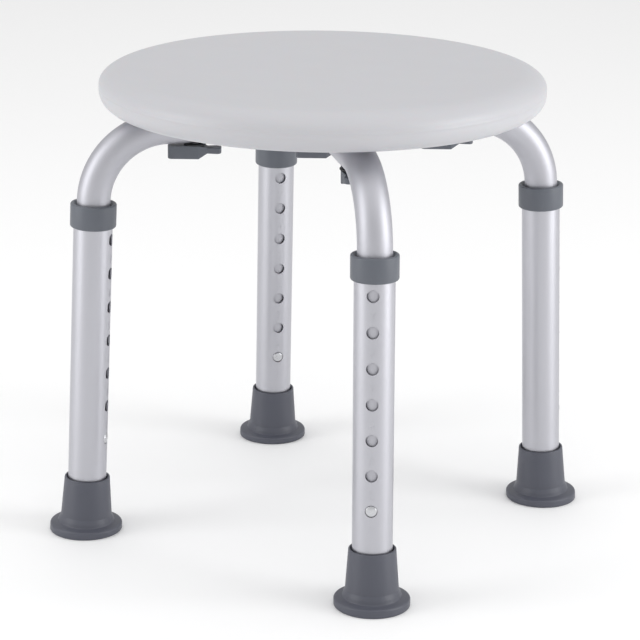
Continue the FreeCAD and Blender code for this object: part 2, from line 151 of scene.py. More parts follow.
class StoolSeatSettings(bpy.types.PropertyGroup):
    """Roundings of the moulded seat."""

    top_reach: length("Upper rounding", "How far the top's rounding reaches inwards", 20.0)
    top_drop: length("Upper drop", "How far the top's rounding comes down", 11.0)
    lower_reach: length("Lower rounding", "How far the rim's lower rounding reaches inwards", 14.0)
    lower_rise: length("Lower rise", "How far the lower rounding comes up", 12.5)
    parting_rise: length("Parting line", "How far the mould's parting line stands out", 0.04)


class StoolTubeSettings(bpy.types.PropertyGroup):
    """Frame tubes and leg tubes."""

    tube_diameter: length("Frame tube", "Outside diameter of the bent frame tubes", 24.0)
    tube_wall: length("Frame wall", "Wall of the frame tubes", 1.2)
    bend_radius: length("Bend", "Centreline radius of the bends", 54.0)
    flat_height: length("Pressed height", "Height of the tubes where they cross", 13.5)
    flat_reach: length("Pressed reach", "Half length of the pressed part", 20.0)
    flat_blend: length("Pressed blend", "Length over which it turns round again", 28.0)
    hole_diameter: length("Holes", "Diameter of the adjusting holes", 8.5)
    hole_bevel: length("Hole edge", "Bevel round each adjusting hole", 0.25)


class StoolLetteringSettings(bpy.types.PropertyGroup):
    """Numbers of the height steps."""

    height: length("Number height", "Height of a number", 6.2)
    drop: length("Number drop", "From a hole's centre down to its number", 14.5)
    relief: length("Number relief", "How far a number stands out of the tube", 0.16)
    stroke: length("Number stroke", "Extra thickness of a number's strokes", 0.1)


class StoolCollarSettings(bpy.types.PropertyGroup):
    """Roundings and mouth of the collars."""

    lower_edge: length("Lower edge", "Rounding of the outer lower edge", 1.6)
    upper_edge: length("Upper edge", "Rounding of the outer upper edge", 1.2)
    skirt_edge: length("Skirt edge", "Rounding of the inner lower edge", 0.3)
    mouth: length("Mouth", "How far the mouth opens past the leg tube", 0.4)
    mouth_edge: length("Mouth edge", "Rounding of the mouth's edge", 0.6)
    lip: length("Lip", "Height of the lip that guides the frame tube", 0.5)
    fine_edge: length("Fine edge", "Rounding of the lip's edges", 0.2)


class StoolFootSettings(bpy.types.PropertyGroup):
    """Rubber feet."""

    wall: length("Rim wall", "Rubber round the leg tube at the top", 2.5)
    cone_spread: length("Cone spread", "How far the cone widens, all round", 2.1)
    cone_base: length("Cone base", "Height where the cone starts", 12.0)
    step_reach: length("Step reach", "How far the step stands out from the cone", 1.9)
    step_height: length("Step height", "Height of the step's top", 9.0)
    step_draft: length("Step draft", "How far the step draws in towards its top", 0.5)
    flange: length("Flange", "Height of the flange's upper face", 5.5)
    mouth: length("Mouth", "How far the mouth opens past the leg tube", 1.3)
    mouth_depth: length("Mouth depth", "Depth of the opening at the rim", 3.0)
    sole: length("Sole", "Rubber under the washer", 8.0)
    vent: length("Vent", "Radius of the small hole in the middle of the sole", 1.2)
    tread_first: length("First groove", "Radius of the sole's innermost groove", 8.0)
    tread_step: length("Groove spacing", "From one groove of the sole to the next", 6.75)
    tread_width: length("Groove width", "Width of a groove at the sole", 2.5)
    tread_depth: length("Groove depth", "Depth of a groove", 1.2)
    tread_edge: length("Groove edge", "Rounding and slope of a groove's edges", 0.2)


class StoolButtonSettings(bpy.types.PropertyGroup):
    """Snap buttons."""

    play: length("Play", "Gap all round between the button and its hole", 0.25)
    base: length("Base", "Thickness of the button's base inside the tube", 1.2)
    crown: length("Crown", "How much the top's middle stands above its edge", 0.55)
    crown_edge: length("Crown edge", "Rounding of the top's edge", 1.0)
    base_edge: length("Base edge", "Rounding of the base's edges", 0.3)
    shank_edge: length("Shank edge", "Rounding where the shank meets the base", 0.1)


class StoolFinishSettings(bpy.types.PropertyGroup):
    """Colours of the finishes."""

    seat: colour("Seat", "Moulded seat plastic", tone(190, 190, 194))
    aluminium: colour("Aluminium", "Satin anodised tubes", tone(190, 190, 196))
    plastic: colour("Grey plastic", "Collars and knobs", tone(93, 97, 105))
    rubber: colour("Grey rubber", "Feet", tone(78, 80, 90))
    # near-black colour for the washers between the knobs and the frame tubes
    washer: colour("Dark plastic", "Washers under the knobs", tone(32, 33, 36))
    steel: colour("Steel", "Screws, buttons and foot washers", tone(196, 197, 200))
    brass: colour("Brass", "Threaded inserts", tone(200, 168, 96))


class StoolStageSettings(bpy.types.PropertyGroup):
    """Camera, lights and floor."""

    azimuth: angle("Azimuth", "Side the camera stands on", 32.51)
    pitch: angle("Pitch", "How far the camera looks down", 17.19)
    roll: angle("Roll", "Tilt of the camera", 0.68)
    distance: length("Distance", "From the stool to the camera across the floor", 1733.2)
    height: length("Height", "Camera above the floor", 687.2)
    lens: FloatProperty(name="Lens", description="Focal length", default=138.45, unit="CAMERA")
    floor: colour("Floor", "Pale floor", (0.96, 0.96, 0.96))


SETTINGS = {
    "stool_seat": StoolSeatSettings,
    "stool_tube": StoolTubeSettings,
    "stool_lettering": StoolLetteringSettings,
    "stool_collar": StoolCollarSettings,
    "stool_foot": StoolFootSettings,
    "stool_button": StoolButtonSettings,
    "stool_finish": StoolFinishSettings,
    "stool_stage": StoolStageSettings,
}


# --- mesh helpers -------------------------------------------------------------------------


def rounded(corners):
    """Outline with its corners rounded, from (radius, height, rounding) or with a fourth
    value for the number of segments. A rounding of 0 keeps the corner sharp."""
    points = []
    count = len(corners)
    for index, corner in enumerate(corners):
        here = Vector(corner[:2])
        rounding = corner[2] if len(corner) > 2 else 0
        if not rounding:
            points.append(here)
            continue
        steps = corner[3] if len(corner) > 3 else CORNER
        before = (Vector(corners[index - 1][:2]) - here).normalized()
        after = (Vector(corners[(index + 1) % count][:2]) - here).normalized()
        half = before.angle(after) / 2
        back = rounding / math.tan(half)
        centre = here + (before + after).normalized() * (rounding / math.sin(half))
        start = here + before * back - centre
        end = here + after * back - centre
        for step in range(steps + 1):
            share = step / steps
            points.append(centre + start.slerp(end, share).normalized() * rounding)
    return points


def piece(name, vertices, faces, space, body, material, smooth=SMOOTH):
    """Mesh object standing in a space and riding on a body."""
    mesh = bpy.data.meshes.new(name)
    mesh.from_pydata([tuple(vertex) for vertex in vertices], [], faces)
    mesh.validate()
    mesh.update()
    made = bpy.data.objects.new(name, mesh)
    bpy.context.scene.collection.objects.link(made)
    made.matrix_world = space
    finish_mesh(made, material, smooth)
    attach(made, body)
    return made


def finish_mesh(made, material, smooth):
    """Smooth shading up to an angle in degrees, and one finish."""
    made.data.shade_smooth()
    made.data.set_sharp_from_angle(angle=math.radians(smooth))
    made.data.materials.clear()
    made.data.materials.append(material)


def turned(outline, closed, segments=ROUND):
    """Vertices and faces turned about +Z. A closed outline is a ring; an open one ends on the axis."""
    vertices = []
    faces = []
    rows = []
    for radius, height in outline:
        if radius < NO_RADIUS:
            rows.append([len(vertices)] * segments)
            vertices.append(Vector((0, 0, height)))
            continue
        rows.append(list(range(len(vertices), len(vertices) + segments)))
        for step in range(segments):
            turn = 2 * math.pi * step / segments
            vertices.append(Vector((radius * math.cos(turn), radius * math.sin(turn), height)))
    pairs = list(zip(rows, rows[1:]))
    if closed:
        pairs.append((rows[-1], rows[0]))
    for low, high in pairs:
        for step in range(segments):
            following = (step + 1) % segments
            face = [low[step], low[following], high[following], high[step]]
            faces.append(list(dict.fromkeys(face)))
    return vertices, faces


def carve(made, shapes):
    """Cut separate (vertices, faces, space) shapes out of a piece for good."""
    vertices = []
    faces = []
    for corners, sides, space in shapes:
        first = len(vertices)
        vertices += [tuple(space @ corner) for corner in corners]
        faces += [[first + index for index in side] for side in sides]
    mesh = bpy.data.meshes.new("cutter")
    mesh.from_pydata(vertices, [], faces)
    cutter = bpy.data.objects.new("cutter", mesh)
    bpy.context.scene.collection.objects.link(cutter)
    modifier = made.modifiers.new("carve", "BOOLEAN")
    modifier.operation = "DIFFERENCE"
    modifier.solver = "EXACT"
    modifier.object = cutter
    bpy.context.view_layer.update()
    evaluated = made.evaluated_get(bpy.context.evaluated_depsgraph_get())
    carved = bpy.data.meshes.new_from_object(evaluated)
    made.modifiers.clear()
    whole = made.data
    made.data = carved
    carved.name = whole.name
    bpy.data.meshes.remove(whole)
    bpy.data.objects.remove(cutter)
    bpy.data.meshes.remove(mesh)


def across(height):
    """Matrix that stands a piece made along +Z out along +X at a height on a leg."""
    return Matrix.Translation((0, 0, height)) @ Matrix.Rotation(math.pi / 2, 4, "Y")


def hole_heights():
    """Heights of a leg's adjusting holes from the lowest, where its button sits at rest."""
    return [BUTTON_HEIGHT + step * HOLE_STEP for step in range(HOLE_COUNT)]


# --- finishes -----------------------------------------------------------------------------


NOISE_LOW, NOISE_HIGH = 0.3, 0.7  # noise seldom goes outside these
LIGHTEST = 0.95  # a lightened colour's channels stop here


def add_socket(group, label, kind, way, default=None):
    """Add a named input or output to a node group."""
    socket = group.interface.new_socket(name=label, in_out=way, socket_type=kind)
    if default is not None:
        socket.default_value = default


def grain_group():
    """Fine moulded or blasted grain: height, and a slow drift for tone and gloss."""
    group = bpy.data.node_groups.get("surface_grain")
    if group:
        return group
    group = bpy.data.node_groups.new("surface_grain", "ShaderNodeTree")
    add_socket(group, "Vector", "NodeSocketVector", "INPUT")
    add_socket(group, "Grain", "NodeSocketFloat", "INPUT", 900.0)
    add_socket(group, "Drift", "NodeSocketFloat", "INPUT", 14.0)
    add_socket(group, "Height", "NodeSocketFloat", "OUTPUT")
    add_socket(group, "Tone", "NodeSocketFloat", "OUTPUT")
    nodes, links = group.nodes, group.links
    inside = nodes.new("NodeGroupInput")
    outside = nodes.new("NodeGroupOutput")
    fine = nodes.new("ShaderNodeTexNoise")
    fine.inputs["Detail"].default_value = 2.0
    slow = nodes.new("ShaderNodeTexNoise")
    slow.inputs["Detail"].default_value = 3.0
    for texture, scale in ((fine, "Grain"), (slow, "Drift")):
        links.new(inside.outputs["Vector"], texture.inputs["Vector"])
        links.new(inside.outputs[scale], texture.inputs["Scale"])
    links.new(fine.outputs["Fac"], outside.inputs["Height"])
    links.new(slow.outputs["Fac"], outside.inputs["Tone"])
    return group


def drawn_group():
    """Faint lines drawn along +Z, as on extruded tube."""
    group = bpy.data.node_groups.get("drawn_lines")
    if group:
        return group
    group = bpy.data.node_groups.new("drawn_lines", "ShaderNodeTree")
    add_socket(group, "Vector", "NodeSocketVector", "INPUT")
    add_socket(group, "Fineness", "NodeSocketFloat", "INPUT", 2200.0)
    add_socket(group, "Stretch", "NodeSocketVector", "INPUT", (1.0, 1.0, 0.012))
    add_socket(group, "Height", "NodeSocketFloat", "OUTPUT")
    nodes, links = group.nodes, group.links
    inside = nodes.new("NodeGroupInput")
    outside = nodes.new("NodeGroupOutput")
    squeeze = nodes.new("ShaderNodeVectorMath")
    squeeze.operation = "MULTIPLY"
    lines = nodes.new("ShaderNodeTexNoise")
    lines.inputs["Detail"].default_value = 2.0
    links.new(inside.outputs["Vector"], squeeze.inputs[0])
    links.new(inside.outputs["Stretch"], squeeze.inputs[1])
    links.new(squeeze.outputs["Vector"], lines.inputs["Vector"])
    links.new(inside.outputs["Fineness"], lines.inputs["Scale"])
    links.new(lines.outputs["Fac"], outside.inputs["Height"])
    return group


class Finish:
    """Material under construction: its shader, its object coordinates and its links."""

    def __init__(self, name):
        self.material = bpy.data.materials.new(name)
        self.material.use_nodes = True
        self.nodes = self.material.node_tree.nodes
        self.links = self.material.node_tree.links
        self.shader = self.nodes["Principled BSDF"]
        self.place = self.nodes.new("ShaderNodeTexCoord").outputs["Object"]

    def put(self, socket, value):
        """Set a value that is the same all over."""
        self.shader.inputs[socket].default_value = value

    def group(self, tree, **values):
        """Place a shared node group, fed with the object's coordinates."""
        node = self.nodes.new("ShaderNodeGroup")
        node.node_tree = tree
        self.links.new(self.place, node.inputs["Vector"])
        for label, value in values.items():
            node.inputs[label].default_value = value
        return node

    def spread(self, factor, low, high, socket):
        """Vary a shader value between low and high over the noise's usual range."""
        span = self.nodes.new("ShaderNodeMapRange")
        span.inputs["From Min"].default_value = NOISE_LOW
        span.inputs["From Max"].default_value = NOISE_HIGH
        span.inputs["To Min"].default_value = low
        span.inputs["To Max"].default_value = high
        self.links.new(factor, span.inputs["Value"])
        self.links.new(span.outputs["Result"], self.shader.inputs[socket])

    def tint(self, factor, first, second):
        """Vary the colour between two near tones."""
        mix = self.nodes.new("ShaderNodeMix")
        mix.data_type = "RGBA"
        mix.inputs["A"].default_value = (*first, 1)
        mix.inputs["B"].default_value = (*second, 1)
        self.links.new(factor, mix.inputs["Factor"])
        self.links.new(mix.outputs["Result"], self.shader.inputs["Base Color"])

    def relief(self, height, depth):
        """Bump of a real depth in metres."""
        bump = self.nodes.new("ShaderNodeBump")
        bump.inputs["Strength"].default_value = 1.0
        bump.inputs["Distance"].default_value = depth
        self.links.new(height, bump.inputs["Height"])
        self.links.new(bump.outputs["Normal"], self.shader.inputs["Normal"])


def shade(value, factor):
    """Colour scaled towards darker or lighter, kept below white."""
    return tuple(min(channel * factor, LIGHTEST) for channel in value)


def moulded(name, value, grain, depth, rough, contrast=0.06):
    """Moulded plastic or rubber: fine grain, slight drift of tone and gloss."""
    finish = Finish(name)
    group = finish.group(grain_group(), Grain=grain, Drift=18.0)
    finish.tint(group.outputs["Tone"], shade(value, 1 - contrast), shade(value, 1 + contrast))
    finish.spread(group.outputs["Tone"], rough - 0.04, rough + 0.05, "Roughness")
    finish.relief(group.outputs["Height"], depth)
    return finish


def seat_finish(value):
    """Satin plastic that lets a little light in."""
    finish = moulded("seat_plastic_satin", value, 1400.0, 0.05 * MM, 0.42, 0.015)
    finish.put("Specular IOR Level", 0.45)
    finish.put("Subsurface Weight", 0.08)
    finish.put("Subsurface Scale", 4 * MM)
    return finish.material


def aluminium_finish(name, value, rough, lines):
    """Satin anodised aluminium, with faint drawn lines where they run straight."""
    finish = Finish(name)
    finish.put("Metallic", 1.0)
    group = finish.group(grain_group(), Grain=2600.0, Drift=9.0)
    finish.tint(group.outputs["Tone"], shade(value, 0.985), shade(value, 1.015))
    finish.spread(group.outputs["Tone"], rough - 0.02, rough + 0.03, "Roughness")
    if lines:
        drawn = finish.group(drawn_group())
        finish.relief(drawn.outputs["Height"], 0.006 * MM)
    else:
        finish.relief(group.outputs["Height"], 0.01 * MM)
    return finish.material


def metal_finish(name, value, rough, grain):
    """Small machined or stamped metal pieces."""
    finish = Finish(name)
    finish.put("Metallic", 1.0)
    group = finish.group(grain_group(), Grain=grain, Drift=120.0)
    finish.tint(group.outputs["Tone"], shade(value, 0.93), shade(value, 1.05))
    finish.spread(group.outputs["Tone"], rough - 0.05, rough + 0.07, "Roughness")
    finish.relief(group.outputs["Height"], 0.02 * MM)
    return finish.material


def floor_finish(value):
    """Matt pale floor with a hardly visible drift of tone."""
    finish = Finish("floor_pale")
    group = finish.group(grain_group(), Grain=60.0, Drift=1.2)
    finish.tint(group.outputs["Tone"], shade(value, 0.995), value)
    finish.spread(group.outputs["Tone"], 0.55, 0.6, "Roughness")
    finish.put("Specular IOR Level", 0.2)
    return finish.material


def finish_named(name):
    """The finish of that name, made when it is first asked for."""
    made = bpy.data.materials.get(name)
    if made:
        return made
    colours = bpy.context.scene.stool_finish
    makers = {
        "seat_plastic_satin": lambda: seat_finish(colours.seat),
        "tube_anodised": lambda: aluminium_finish(name, colours.aluminium, 0.52, False),
        "leg_anodised": lambda: aluminium_finish(name, colours.aluminium, 0.4, True),
        "plastic_grey": lambda: moulded(name, colours.plastic, 1500.0, 0.06 * MM, 0.42).material,
        "rubber_grey": lambda: moulded(name, colours.rubber, 1100.0, 0.07 * MM, 0.46, 0.08).material,
        "washer_near_black": lambda: moulded(name, colours.washer, 1800.0, 0.04 * MM, 0.5).material,
        "steel_zinc": lambda: metal_finish(name, colours.steel, 0.34, 1800.0),
        "steel_button": lambda: metal_finish(name, shade(colours.steel, 1.08), 0.27, 2400.0),
        "steel_spring": lambda: metal_finish(name, shade(colours.steel, 0.6), 0.38, 1500.0),
        "brass_machined": lambda: metal_finish(name, colours.brass, 0.32, 1600.0),
    }
    return makers[name]()


# --- seat ---------------------------------------------------------------------------------


SEAT_ROUND = 192  # segments round the seat
SEAT_LOWER_STEPS, SEAT_UPPER_STEPS = 12, 20  # segments along the rim's two roundings
SEAT_SMOOTH = 50  # degrees up to which its edges are shaded smooth
SOCKET_DEPTH = 1 * MM  # how far an insert's socket shows in the underside


def seat_outline(settings):
    """Half section of the seat, from the middle of the underside to the middle of the top."""
    low, high = SEAT_LOW.z, SEAT_HIGH.z
    edge = SEAT_RADIUS
    lower_reach = settings.lower_reach
    lower_rise = settings.lower_rise
    widest = high - settings.top_drop
    shoulder = edge - settings.top_reach
    outline = [Vector((0, low))]
    outline += [Vector((edge * share, low)) for share in (0.2, 0.45, 0.7, 0.86)]
    for step in range(SEAT_LOWER_STEPS + 1):
        turn = math.pi / 2 * step / SEAT_LOWER_STEPS
        radius = edge - lower_reach * (1 - math.sin(turn))
        outline.append(Vector((radius, low + lower_rise * (1 - math.cos(turn)))))
    parting = (low + lower_rise + widest) / 2
    rise = settings.parting_rise
    outline += [
        Vector((edge, parting - 3 * rise)),
        Vector((edge + rise, parting - rise)),
        Vector((edge + rise, parting + rise)),
        Vector((edge, parting + 3 * rise)),
        Vector((edge, widest)),
    ]
    for step in range(1, SEAT_UPPER_STEPS + 1):
        turn = math.pi / 2 * step / SEAT_UPPER_STEPS
        radius = shoulder + settings.top_reach * math.cos(turn)
        outline.append(Vector((radius, widest + settings.top_drop * math.sin(turn))))
    outline += [Vector((shoulder * share, high)) for share in (0.97, 0.8, 0.5, 0.2)]
    outline.append(Vector((0, high)))
    return outline


class STOOL_OT_seat(bpy.types.Operator):
    """Build the round moulded seat"""

    bl_idname = "stool.seat"
    bl_label = "Seat"

    def execute(self, context):
        vertices, faces = turned(seat_outline(context.scene.stool_seat), False, SEAT_ROUND)
        finish = finish_named("seat_plastic_satin")
        made = piece("seat_moulding", vertices, faces, Matrix(), "frame", finish, SEAT_SMOOTH)
        carve(made, [insert_socket(name) for name in KNOBS])
        finish_mesh(made, finish, SEAT_SMOOTH)
        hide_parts("seat")
        return {"FINISHED"}


def insert_socket(name):
    """Cutter for the socket that an insert sits in."""
    space = knob_space(name)
    space.translation.z = 0
    radius, low, high = reach(f"insert_{name}", space)[1:]
    bottom, top = low - SPARE, low + SOCKET_DEPTH
    outline = [(0, bottom), (radius, bottom), (radius, top), (0, top)]
    return (*turned(outline, False, SMALL_ROUND), space)


# --- frame tubes --------------------------------------------------------------------------


class STOOL_OT_frame_tubes(bpy.types.Operator):
    """Build the two bent frame tubes that cross under the seat"""

    bl_idname = "stool.frame_tubes"
    bl_label = "Frame tubes"

    def execute(self, context):
        for node, legs in TUBE_LEGS.items():
            build_frame_tube(node, legs, context.scene.stool_tube)
        return {"FINISHED"}


TUBE_ROUND = 64  # points round a frame tube
STRAIGHT_STEPS, BEND_STEPS, BLEND_STEPS = 8, 28, 14  # stations along a leg, a bend and a blend
OVAL_SHARPNESS = 3.5  # how quickly the pressed oval turns from its flat to its round side


def smoothstep(value):
    """Ease from 0 to 1."""
    value = min(max(value, 0.0), 1.0)
    return value * value * (3 - 2 * value)


def tube_stations(space, tip, flat_z, settings):
    """Rings of half a frame tube from the leg's end to the middle of the stool.

    Each is (centre, inward direction of travel, how flat from 0 to 1)."""
    up = space.col[2].xyz
    base = space.translation
    out = Vector((base.x, base.y, 0)).normalized()
    run_z = SEAT_LOW.z - settings.tube_diameter / 2
    corner = base + up * (run_z / up.z)
    turn = up.angle(-out)
    tangent = settings.bend_radius * math.tan(turn / 2)
    bend_low = corner - up * tangent
    bend_end = corner - out * tangent
    stations = []
    straight = (bend_low - base).length
    for step in range(STRAIGHT_STEPS + 1):
        share = step / STRAIGHT_STEPS
        stations.append((base + up * (tip + (straight - tip) * share), up, 0.0))
    pivot = bend_end - Vector((0, 0, settings.bend_radius))
    start = bend_low - pivot
    axis = up.cross(-out).normalized()
    for step in range(1, BEND_STEPS + 1):
        swing = Matrix.Rotation(turn * step / BEND_STEPS, 3, axis)
        stations.append((pivot + swing @ start, swing @ up, 0.0))
    run = Vector((bend_end.x, bend_end.y, 0)).length
    blend_end = settings.flat_reach + settings.flat_blend
    stops = [run + (blend_end - run) * share for share in (0.25, 0.5, 0.75, 1.0)]
    blend = settings.flat_blend
    stops += [blend_end - blend * step / BLEND_STEPS for step in range(1, BLEND_STEPS + 1)]
    stops += [settings.flat_reach / 2, 0.0]
    for stop in stops:
        flat = smoothstep((blend_end - stop) / blend)
        height = run_z + (flat_z - run_z) * flat
        stations.append((Vector((out.x * stop, out.y * stop, height)), -out, flat))
    return stations


def tube_ring(centre, travel, flat, radius, full_radius, settings):
    """Points round one station: a circle that widens into a flat-sided oval."""
    side = travel.cross(Vector((0, 0, 1))).normalized()
    over = side.cross(travel).normalized()
    inset = full_radius - radius
    flat_radius = settings.flat_height / 2 - inset
    middle = math.pi * (2 * full_radius - settings.tube_wall)
    straight = (middle - math.pi * (settings.flat_height - settings.tube_wall)) / 4
    half = straight * flat
    size = radius + (flat_radius - radius) * flat
    points = []
    for step in range(TUBE_ROUND):
        turn = 2 * math.pi * (step + 0.5) / TUBE_ROUND
        sway = math.tanh(OVAL_SHARPNESS * math.cos(turn)) / math.tanh(OVAL_SHARPNESS)
        sideways = half * sway + size * math.cos(turn)
        points.append(centre + side * sideways + over * (size * math.sin(turn)))
    return points


def build_frame_tube(node, legs, settings):
    """One bent tube from leg to leg, open at both tips and pressed where the two cross."""
    upper = node.endswith("upper")
    flat_z = SEAT_LOW.z - settings.flat_height * (0.5 if upper else 1.5)
    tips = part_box(node)[0].z
    halves = []
    for name in legs:
        space = leg_space(name)
        up = space.col[2].xyz
        drop = math.sqrt(1 - up.z**2) * settings.tube_diameter / 2
        halves.append(tube_stations(space, (tips + drop) / up.z, flat_z, settings))
    route = halves[0]
    route += [(centre, -travel, flat) for centre, travel, flat in reversed(halves[1][:-1])]
    radius = settings.tube_diameter / 2
    bore = radius - settings.tube_wall
    outer = [tube_ring(*station, radius, radius, settings) for station in route]
    inner = [tube_ring(*station, bore, radius, settings) for station in route]
    rings = outer + inner[::-1]
    count = len(rings[0])
    vertices = [point for ring in rings for point in ring]
    faces = []
    for row in range(len(rings)):
        following = (row + 1) % len(rings)
        for step in range(count):
            nearby = (step + 1) % count
            here, there = row * count, following * count
            faces.append([here + step, here + nearby, there + nearby, there + step])
    finish = finish_named("tube_anodised")
    made = piece(node + "_bent", vertices, faces, Matrix(), "frame", finish)
    screws = [screw_hole(name) for name in legs + ("centre",)]
    carve(made, screws + [button_hole(name) for name in legs])
    finish_mesh(made, finish, SMOOTH)
    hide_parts(node)


def screw_hole(name):
    """Cutter for a knob screw's hole through a frame tube."""
    space = knob_space(name)
    radius = reach(f"knob_washer_{name}", space)[0]
    height = SEAT_LOW.z - space.translation.z
    outline = [(0, -SPARE), (radius, -SPARE), (radius, height + SPARE), (0, height + SPARE)]
    return (*turned(outline, False, SCREW_ROUND), space)


def button_hole(name):
    """Cutter for the hole that a snap button stands in."""
    radius = bpy.context.scene.stool_tube.hole_diameter / 2
    outline = [(0, 0), (radius, 0), (radius, LEG_BORE), (0, LEG_BORE)]
    return (*turned(outline, False, HOLE_ROUND), leg_space(name) @ across(BUTTON_HEIGHT))


# --- leg tubes ----------------------------------------------------------------------------


LEG_EDGE = 0.2 * MM  # rounding of a leg tube's ends
LEG_SMOOTH = 30  # degrees, as for the seat
HOLE_BAND = 0.8  # extra rings this many hole diameters above and below each hole
WALL_SKIN = 0.05 * MM  # depth that still counts as the outer wall


class STOOL_OT_leg_tubes(bpy.types.Operator):
    """Build the outer leg tubes with their rows of adjusting holes"""

    bl_idname = "stool.leg_tubes"
    bl_label = "Leg tubes"

    def execute(self, context):
        settings = context.scene.stool_tube
        finish = finish_named("leg_anodised")
        band = HOLE_BAND * settings.hole_diameter
        bands = [height + side for height in hole_heights() for side in (-band, band)]
        outline = rounded(
            [(LEG_BORE, LEG_LOW, LEG_EDGE), (LEG_RADIUS, LEG_LOW, LEG_EDGE)]
            + [(LEG_RADIUS, height) for height in bands]
            + [(LEG_RADIUS, LEG_HIGH, LEG_EDGE), (LEG_BORE, LEG_HIGH, LEG_EDGE)]
            + [(LEG_BORE, height) for height in reversed(bands)]
        )
        for name in LEGS:
            space = leg_space(name)
            body = f"leg_{name}"
            vertices, faces = turned(outline, True, LEG_ROUND)
            made = piece(f"leg_tube_{name}_drawn", vertices, faces, space, body, finish, LEG_SMOOTH)
            carve(made, [leg_hole(space @ across(height), settings) for height in hole_heights()])
            finish_mesh(made, finish, LEG_SMOOTH)
            round_normals(made)
            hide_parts(f"leg_tube_{name}")
        return {"FINISHED"}


def leg_hole(space, settings):
    """Cutter for one adjusting hole, flared at the outside for its bevelled edge."""
    radius = settings.hole_diameter / 2
    bevel = settings.hole_bevel
    far = LEG_RADIUS + SPARE
    outline = [
        (0, LEG_BORE / 2),
        (radius, LEG_BORE / 2),
        (radius, LEG_RADIUS - bevel),
        (radius + bevel, LEG_RADIUS),
        (radius + bevel, far),
        (0, far),
    ]
    return (*turned(outline, False, HOLE_ROUND), space)


def round_normals(made):
    """Point the normals of the outer wall straight out, so that holes leave no facets in it."""
    mesh = made.data
    normals = []
    corners = mesh.corner_normals
    for polygon in mesh.polygons:
        upright = abs(polygon.normal.z) < 0.02
        for loop in polygon.loop_indices:
            spot = mesh.vertices[mesh.loops[loop].vertex_index].co
            away = Vector((spot.x, spot.y, 0))
            outer = upright and away.length > LEG_RADIUS - WALL_SKIN
            if outer and polygon.normal.dot(away.normalized()) > 0.99:
                normals.append(away.normalized())
            else:
                normals.append(Vector(corners[loop].vector))
    mesh.normals_split_custom_set(normals)


# --- lettering ----------------------------------------------------------------------------


FONT_SCALE = 1.38  # the plain font's size over the height of its figures


class STOOL_OT_numbers(bpy.types.Operator):
    """Raise the number of each height step below its hole"""

    bl_idname = "stool.numbers"
    bl_label = "Step numbers"

    def execute(self, context):
        settings = context.scene.stool_lettering
        finish = finish_named("leg_anodised")
        for name in LEGS:
            vertices = []
            faces = []
            for index, height in enumerate(hole_heights()):
                add_number(str(index + 1), height - settings.drop, settings, vertices, faces)
            space, body = leg_space(name), f"leg_{name}"
            made = piece(f"step_numbers_{name}", vertices, faces, space, body, finish, LEG_SMOOTH)
        return {"FINISHED"}


def add_number(text, height, settings, vertices, faces):
    """Append one number, wrapped round the tube's front, to the lists."""
    curve = bpy.data.curves.new("number", "FONT")
    curve.body = text
    curve.align_x = "CENTER"
    curve.align_y = "CENTER"
    curve.size = settings.height * FONT_SCALE
    curve.offset = settings.stroke
    curve.extrude = settings.relief
    curve.resolution_u = 4
    made = bpy.data.objects.new("number", curve)
    mesh = bpy.data.meshes.new_from_object(made)
    first = len(vertices)
    for vertex in mesh.vertices:
        turn = vertex.co.x / LEG_RADIUS
        radius = LEG_RADIUS + vertex.co.z
        across_tube = radius * math.sin(turn)
        vertices.append(Vector((radius * math.cos(turn), across_tube, height + vertex.co.y)))
    faces.extend([first + index for index in polygon.vertices] for polygon in mesh.polygons)
    bpy.data.meshes.remove(mesh)
    bpy.data.objects.remove(made)
    bpy.data.curves.remove(curve)


# --- collars ------------------------------------------------------------------------------


def collar_outline(settings):
    """Ring outline of a collar, which sits over the leg tube's end and narrows to its bore."""
    small = settings.fine_edge
    return rounded(
        [
            (LEG_RADIUS, COLLAR_LOW, settings.skirt_edge),
            (COLLAR_RADIUS, COLLAR_LOW, settings.lower_edge),
            (COLLAR_RADIUS, COLLAR_HIGH, settings.upper_edge),
            (LEG_RADIUS + settings.mouth, COLLAR_HIGH, settings.mouth_edge),
            (COLLAR_BORE, LEG_HIGH + settings.lip, small),
            (COLLAR_BORE, LEG_HIGH, small),
            (LEG_RADIUS, LEG_HIGH, small),
        ]
    )


class STOOL_OT_collars(bpy.types.Operator):
    """Build the plastic collars on the leg tubes"""

    bl_idname = "stool.collars"
    bl_label = "Collars"

    def execute(self, context):
        finish = finish_named("plastic_grey")
        outline = collar_outline(context.scene.stool_collar)
        for name in LEGS:
            space = leg_space(name)
            vertices, faces = turned(outline, True)
            made = piece(f"collar_{name}_moulded", vertices, faces, space, f"leg_{name}", finish)
            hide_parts(f"collar_{name}")
        return {"FINISHED"}


# --- feet ---------------------------------------------------------------------------------


TREAD_COUNT = 3  # round grooves in the sole
TREAD_CORNER, FLANGE_CORNER = 2, 8  # segments round those edges
FLANGE_SLOPE = 1 * MM  # how far the flange's upper face rises towards the step
FOOT_SMOOTH = 35  # degrees, as for the seat


class STOOL_OT_feet(bpy.types.Operator):
    """Build the rubber feet, with a sole that lies level on the floor"""

    bl_idname = "stool.feet"
    bl_label = "Feet"

    def execute(self, context):
        settings = context.scene.stool_foot
        finish = finish_named("rubber_grey")
        for name in LEGS:
            space = leg_space(name)
            vertices, faces = turned(foot_outline(settings), True)
            flatten_sole(vertices, space, settings.flange)
            body = f"leg_{name}"
            made = piece(f"foot_{name}_rubber", vertices, faces, space, body, finish, FOOT_SMOOTH)
            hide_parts(f"foot_{name}")
        return {"FINISHED"}


